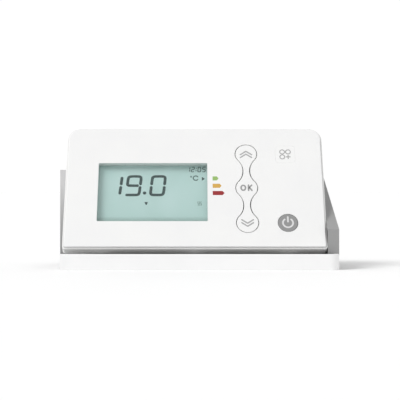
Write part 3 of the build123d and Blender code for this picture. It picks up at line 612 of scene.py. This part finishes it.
def dome_part(name, at, d):
    """A dome's wall between two depths, with the thick crown on it where it reaches the hollow's top."""
    (outer_foot, inner_foot), (outer_top, inner_top) = dome_radii(d[0]), dome_radii(d[1])
    profile = [(inner_foot, d[0]), (outer_foot, d[0]), (outer_top, d[1])]
    if d[1] == HOLLOW_TOP_D:
        profile += [(DOME_R[1], DOME_TOP_D), (0, DOME_TOP_D), (0, HOLLOW_TOP_D)]
    profile.append((inner_top, d[1]))
    made = piece(name, [turned(at, profile)], SILICONE, None)
    start, end = (tuple(head.at(*at, depth)) for depth in d)
    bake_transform(made)


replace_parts(piece("key_mat_sheet", [mat_sheet()], SILICONE, "case"), "key_mat")
for name, at in (("ok", (LOBE_X, LOBE_V[1])), ("menu", MENU_AT), ("power", POWER_AT)):
    dome_part(f"{name}_key_dome", at, (MAT_D[0], HOLLOW_TOP_D))
for name, v in (("up", LOBE_V[0]), ("down", LOBE_V[2])):
    dome_part(f"{name}_key_dome_foot", (LOBE_X, v), MAT_D)
    dome_part(f"{name}_key_dome_top", (LOBE_X, v), (MAT_D[1], HOLLOW_TOP_D))


# --- Printed signs on the keys ----------------------------------------------------------------------------

ON_PLATE = (-INK / 2, INK)
CHEVRON, CHEVRON_LIFT = ((-2.45, -0.4), (0, 1.3), (2.45, -0.4)), 0.45
CHEVRON_PITCH, CHEVRON_LINE, UP_SIGN_DROP = 1.45, 0.62, 0.4
LETTER_O_X, LETTER_O_R, LETTER_O_SQUEEZE, OK_LINE = -1.5, 1.22, 0.78, 0.7
LETTER_K = (((0.78, -1.3), (0.78, 1.3)), ((0.85, -0.15), (2.1, 1.3)), ((1.15, 0.15), (2.2, -1.3)))
MENU_PITCH, MENU_RING_R, MENU_LINE = 2.55, 1.04, 0.45
STAR_WAIST, STAR_RAY, STAR_SHARPNESS = 0.42, 0.78, 3
BOW_R, BOW_TURN, BAR_V, POWER_LINE = 2.15, (130, 410), (0.55, 2.8), 0.74


def chevrons(v, way):
    """Two stacked arrowheads that point up with way 1 and down with way -1."""
    strokes = []
    for shift in (0.0, -CHEVRON_PITCH):
        corners = np.array(CHEVRON) + (0, shift + CHEVRON_LIFT)
        path = along_line(*(corners * (1, way) + (LOBE_X, v)))
        strokes.append(line_shell(path, CHEVRON_LINE, ON_PLATE))
    return strokes


piece("up_key_sign", chevrons(LOBE_V[0] - UP_SIGN_DROP, 1), LEGEND_INK, "up")
piece("down_key_sign", chevrons(LOBE_V[2], -1), LEGEND_INK, "down")


def ok_letters():
    """The two letters: an upright oval ring, and a stem with two arms."""
    x, v = LOBE_X, LOBE_V[1]
    path = ring((x + LETTER_O_X, v), LETTER_O_R, squeeze=LETTER_O_SQUEEZE)
    oval = line_shell(path, OK_LINE, ON_PLATE, closed=True)
    arms = [line_shell(along_line(*(np.array(s) + (x, v))), OK_LINE, ON_PLATE) for s in LETTER_K]
    return [oval, *arms]


piece("ok_key_sign", ok_letters(), OK_INK, "ok")


def menu_sign():
    """Three rings and a four-pointed star, in a square."""
    (x, v), half = MENU_AT, MENU_PITCH / 2
    places = [(x - half, v + half), (x + half, v + half), (x - half, v - half)]
    rings = [line_shell(ring(p, MENU_RING_R), MENU_LINE, ON_PLATE, closed=True) for p in places]
    turn = np.radians(np.arange(0, 360, 15))
    reach = STAR_WAIST + STAR_RAY * np.abs(np.cos(2 * turn)) ** STAR_SHARPNESS
    star = np.stack([np.cos(turn), np.sin(turn)], -1) * reach[:, None] + (x + half, v - half)
    return [*rings, filled_shell(star, ON_PLATE)]


piece("menu_key_sign", menu_sign(), LEGEND_INK, "menu")


def power_sign():
    """An open ring with a bar standing in its gap."""
    x, v = POWER_AT
    bow = line_shell(arc(POWER_AT, BOW_R, *BOW_TURN, 48), POWER_LINE, ON_PLATE)
    bar = along_line(*((x, v + end) for end in BAR_V))
    return [bow, line_shell(bar, POWER_LINE, ON_PLATE)]


piece("power_key_sign", power_sign(), POWER_INK, "power")


# --- Display ----------------------------------------------------------------------------------------------


def window_shade_lining():
    """A teal-grey sheet of painted shade round the window's edge, darker than the plate where the opening's walls
    stand in shade: a flat strip LINING_T thick carried round the opening.
    """
    outer = rounded_box(WINDOW_X, WINDOW_V, WINDOW_R)
    middle = outer.mean(0)
    half = np.array([WINDOW_X[1] - WINDOW_X[0], WINDOW_V[1] - WINDOW_V[0]]) / 2
    inner = middle + (outer - middle) * (half - LINING_T) / half
    deep, shallow = -PLATE_T, LINING_D
    loops = [(outer, deep), (inner, deep), (inner, shallow), (outer, shallow)]
    points = np.stack([head.at(flat[:, 0], flat[:, 1], d) for flat, d in loops], 1).reshape(-1, 3)
    return points, grid_faces(len(outer), 4, close_rows=True)


piece("window_shade_lining", [window_shade_lining()], PAINTED_SHADE_LINING, "case")

ON_DISPLAY = (DISPLAY_D - INK / 2, DISPLAY_D + INK)
SLANT = math.tan(math.radians(5.5))
FIGURES = (("1", -38.1, 6.2), ("9", -30.4, 6.9), ("0", -19.9, 6.9))
FIGURE_FOOT, FIGURE_HEIGHT, FIGURE_LINE = 26.0, 10.6, 1.25
POINT_AT, POINT_R = (-21.7, 27.6), 0.76
CLOCK = (("1", -3.6), ("2", -1.7), ("0", 1.15), ("5", 3.15))
CLOCK_FOOT, CLOCK_WIDTH, CLOCK_HEIGHT, CLOCK_LINE = 38.1, 1.55, 2.75, 0.4
COLON_X, COLON_RISE, COLON_R = 0.55, (0.8, 1.9), 0.2
DEGREE_AT, DEGREE_R, DEGREE_LINE = (-1.55, 35.8), 0.3, 0.26
UNIT_AT, UNIT_R, UNIT_TURN, UNIT_LINE = (0.5, 35.1), 1.1, (38, 322), 0.52
POINTER = ((3.15, 35.75), (3.15, 33.75), (4.4, 34.75))
MARKER_AT = (-20.9, 22.35)
MARKER = ((-0.8, 0.75), (0, 0.75), (0.8, 0.75), (0.4, -0.1), (0, -0.95), (-0.4, -0.1))
WAVES_AT, WAVE_PITCH, WAVE_HEIGHT, WAVE_SWING, WAVE_LINE = (2.1, 22.4), 0.65, 1.9, 0.16, 0.28


def digit_strokes(character):
    """The strokes of a seven-segment figure in a cell 1 wide and 2 high, its outer corners rounded. A gap
    at half height parts the upper segments from the lower ones."""
    bend, gap = 0.2, 0.12
    left_up, right_up = [(0, 1 + gap), (0, 2 - bend)], [(1, 2 - bend), (1, 1 + gap)]
    top = [(0.06, 1.94), (bend, 2), (1 - bend, 2), (0.94, 1.94)]
    foot = [(0.94, 0.06), (1 - bend, 0), (bend, 0), (0.06, 0.06)]
    right_down, left_down = [(1, 1 - gap), (1, bend)], [(0, bend), (0, 1 - gap)]
    middle = [(0.12, 1), (0.84, 1)]
    return {
        "0": [left_up + top + right_up, right_down + foot + left_down],
        "1": [[(1, 1 + gap), (1, 1.88)], [(1, 0.12), (1, 1 - gap)]],
        "2": [top + right_up, middle, left_down[::-1] + foot[::-1]],
        "5": [left_up + top[:2] + [(0.95, 2)], middle, right_down + foot],
        "9": [middle[::-1] + [(0.04, 1.06)] + left_up + top + right_up, right_down + foot[:2] + [(0, 0)]],
    }[character]


def figure(character, left, foot, width, height, line):
    """One slanted figure. left is its lower left corner's x, and width and height are outside sizes."""
    shells = []
    for stroke in digit_strokes(character):
        flat = np.array(stroke, float) * ((width - line), (height - line) / 2) + (line / 2, line / 2)
        flat = flat @ np.array([[1, 0], [SLANT, 1]]) + (left, foot)
        shells.append(line_shell(smoothed(flat), line, ON_DISPLAY, taper=True))
    return shells


def smoothed(corners, rounds=2):
    """Chaikin's corner cutting: each round swaps every inner corner for two points a quarter of the way
    along its runs."""
    flat = np.asarray(corners, float)
    for _ in range(rounds):
        near, far = flat[:-1] * 0.75 + flat[1:] * 0.25, flat[:-1] * 0.25 + flat[1:] * 0.75
        inner = np.stack([near, far], 1).reshape(-1, 2)[1:-1]
        flat = np.concatenate([flat[:1], inner, flat[-1:]]) if len(flat) > 2 else flat
    return flat


def temperature():
    """Three tall figures, with the point before the last."""
    shells = []
    for character, left, width in FIGURES:
        shells += figure(character, left, FIGURE_FOOT, width, FIGURE_HEIGHT, FIGURE_LINE)
    return shells + [filled_shell(ring(POINT_AT, POINT_R), ON_DISPLAY)]


def clock():
    """Four small figures, with two slanted dots between the pairs."""
    shells = []
    for character, left in CLOCK:
        shells += figure(character, left, CLOCK_FOOT, CLOCK_WIDTH, CLOCK_HEIGHT, CLOCK_LINE)
    dots = [(COLON_X + SLANT * rise, CLOCK_FOOT + rise) for rise in COLON_RISE]
    return shells + [filled_shell(ring(at, COLON_R), ON_DISPLAY) for at in dots]


def unit_sign():
    """The degree ring and the open letter after it."""
    return [
        line_shell(ring(DEGREE_AT, DEGREE_R), DEGREE_LINE, ON_DISPLAY, closed=True),
        line_shell(arc(UNIT_AT, UNIT_R, *UNIT_TURN, 32), UNIT_LINE, ON_DISPLAY),
    ]


def pointer():
    """A small arrowhead beside the gauge."""
    return [filled_shell(along_line(*POINTER, steps=6), ON_DISPLAY)]


def mode_marker():
    """A small arrowhead that points down at the chosen mode, its corners rounded."""
    rounded = smoothed(MARKER + MARKER[:1])[:-1]
    return [filled_shell(rounded + MARKER_AT, ON_DISPLAY)]


def heat_sign():
    """Three short rising waves."""
    (x, v), run = WAVES_AT, np.linspace(0, WAVE_HEIGHT, 16)
    wave = np.stack([WAVE_SWING * np.sin(run / WAVE_HEIGHT * 2 * math.pi), run - WAVE_HEIGHT / 2], -1)
    places = [(x + side * WAVE_PITCH, v) for side in (-1, 0, 1)]
    return [line_shell(wave + place, WAVE_LINE, ON_DISPLAY) for place in places]


piece("display_temperature", temperature(), SEGMENT_INK, "case")
piece("display_clock", clock(), SMALL_SEGMENT_INK, "case")
piece("display_unit", unit_sign(), SMALL_SEGMENT_INK, "case")
piece("display_pointer", pointer(), SEGMENT_INK, "case")
piece("display_mode_marker", mode_marker(), SEGMENT_INK, "case")
piece("display_heat_sign", heat_sign(), FAINT_SEGMENT_INK, "case")


# --- Studio -----------------------------------------------------------------------------------------------

KEY_FROM, KEY_POWER, KEY_SPREAD = (-0.9, 0.75, 1.0), 1.5, 30.0
FRONT_SKY, BACK_SKY, SKY_TURN = 0.645, 1.02, (0.2, 0.8)
FLOOR_SIDE = 60.0
CAMERA_AT = (-2.43, -577.5, 33.56)
LENS, SENSOR_WIDTH, CAMERA_SHIFT, CLIP = 118.4, 36.0, (0.0285, -0.025), (0.01, 20.0)


def studio():
    """A plain pale floor under a white surround, brighter behind than in front, and a soft key light from
    the upper left, which comes from KEY_FROM in the head's own frame."""
    low, high = cad_box
    bpy.ops.mesh.primitive_plane_add(size=FLOOR_SIDE, location=(0, 0, low.z))
    floor = bpy.context.object
    floor.name = "studio_floor"
    paper = moulded("pale_studio_paper", "#f8f8f8", "#f9f9f9", 2.0, 0.01, (0.8, 0.9), 60.0)
    floor.data.materials.append(paper)
    world = bpy.data.worlds.new("studio")
    world.use_nodes = True
    tree = world.node_tree
    direction = add_node(tree, "ShaderNodeTexCoord").outputs["Generated"]
    behind = add_node(tree, "ShaderNodeSeparateXYZ", {"Vector": direction}).outputs["Y"]
    span = {"Value": behind, "From Min": SKY_TURN[0], "From Max": SKY_TURN[1]}
    ends = {"To Min": FRONT_SKY, "To Max": BACK_SKY}
    strength = add_node(tree, "ShaderNodeMapRange", {**span, **ends}).outputs["Result"]
    tree.links.new(strength, tree.nodes["Background"].inputs["Strength"])
    tree.nodes["Background"].inputs["Color"].default_value = (1, 1, 1, 1)
    bpy.context.scene.world = world
    sun = bpy.data.lights.new("key_light", "SUN")
    sun.energy, sun.angle = KEY_POWER, math.radians(KEY_SPREAD)
    lamp = bpy.data.objects.new("key_light", sun)
    bpy.context.scene.collection.objects.link(lamp)
    across, up, out = KEY_FROM
    rays = across * head.across + up * head.up + out * head.out
    lamp.rotation_euler = Vector(rays).to_track_quat("Z", "Y").to_euler()


def camera():
    """About level with the middle of the head and square to the wall, far back, with a slight shift."""
    data = bpy.data.cameras.new("camera")
    data.lens, data.sensor_width = LENS, SENSOR_WIDTH
    data.shift_x, data.shift_y = CAMERA_SHIFT
    data.clip_start, data.clip_end = CLIP
    made = bpy.data.objects.new("camera", data)
    bpy.context.scene.collection.objects.link(made)
    made.location = [k * MM for k in CAMERA_AT]
    made.rotation_euler = (math.pi / 2, 0, 0)
    bpy.context.scene.camera = made


studio()
camera()
bpy.context.scene.view_settings.view_transform = "Standard"
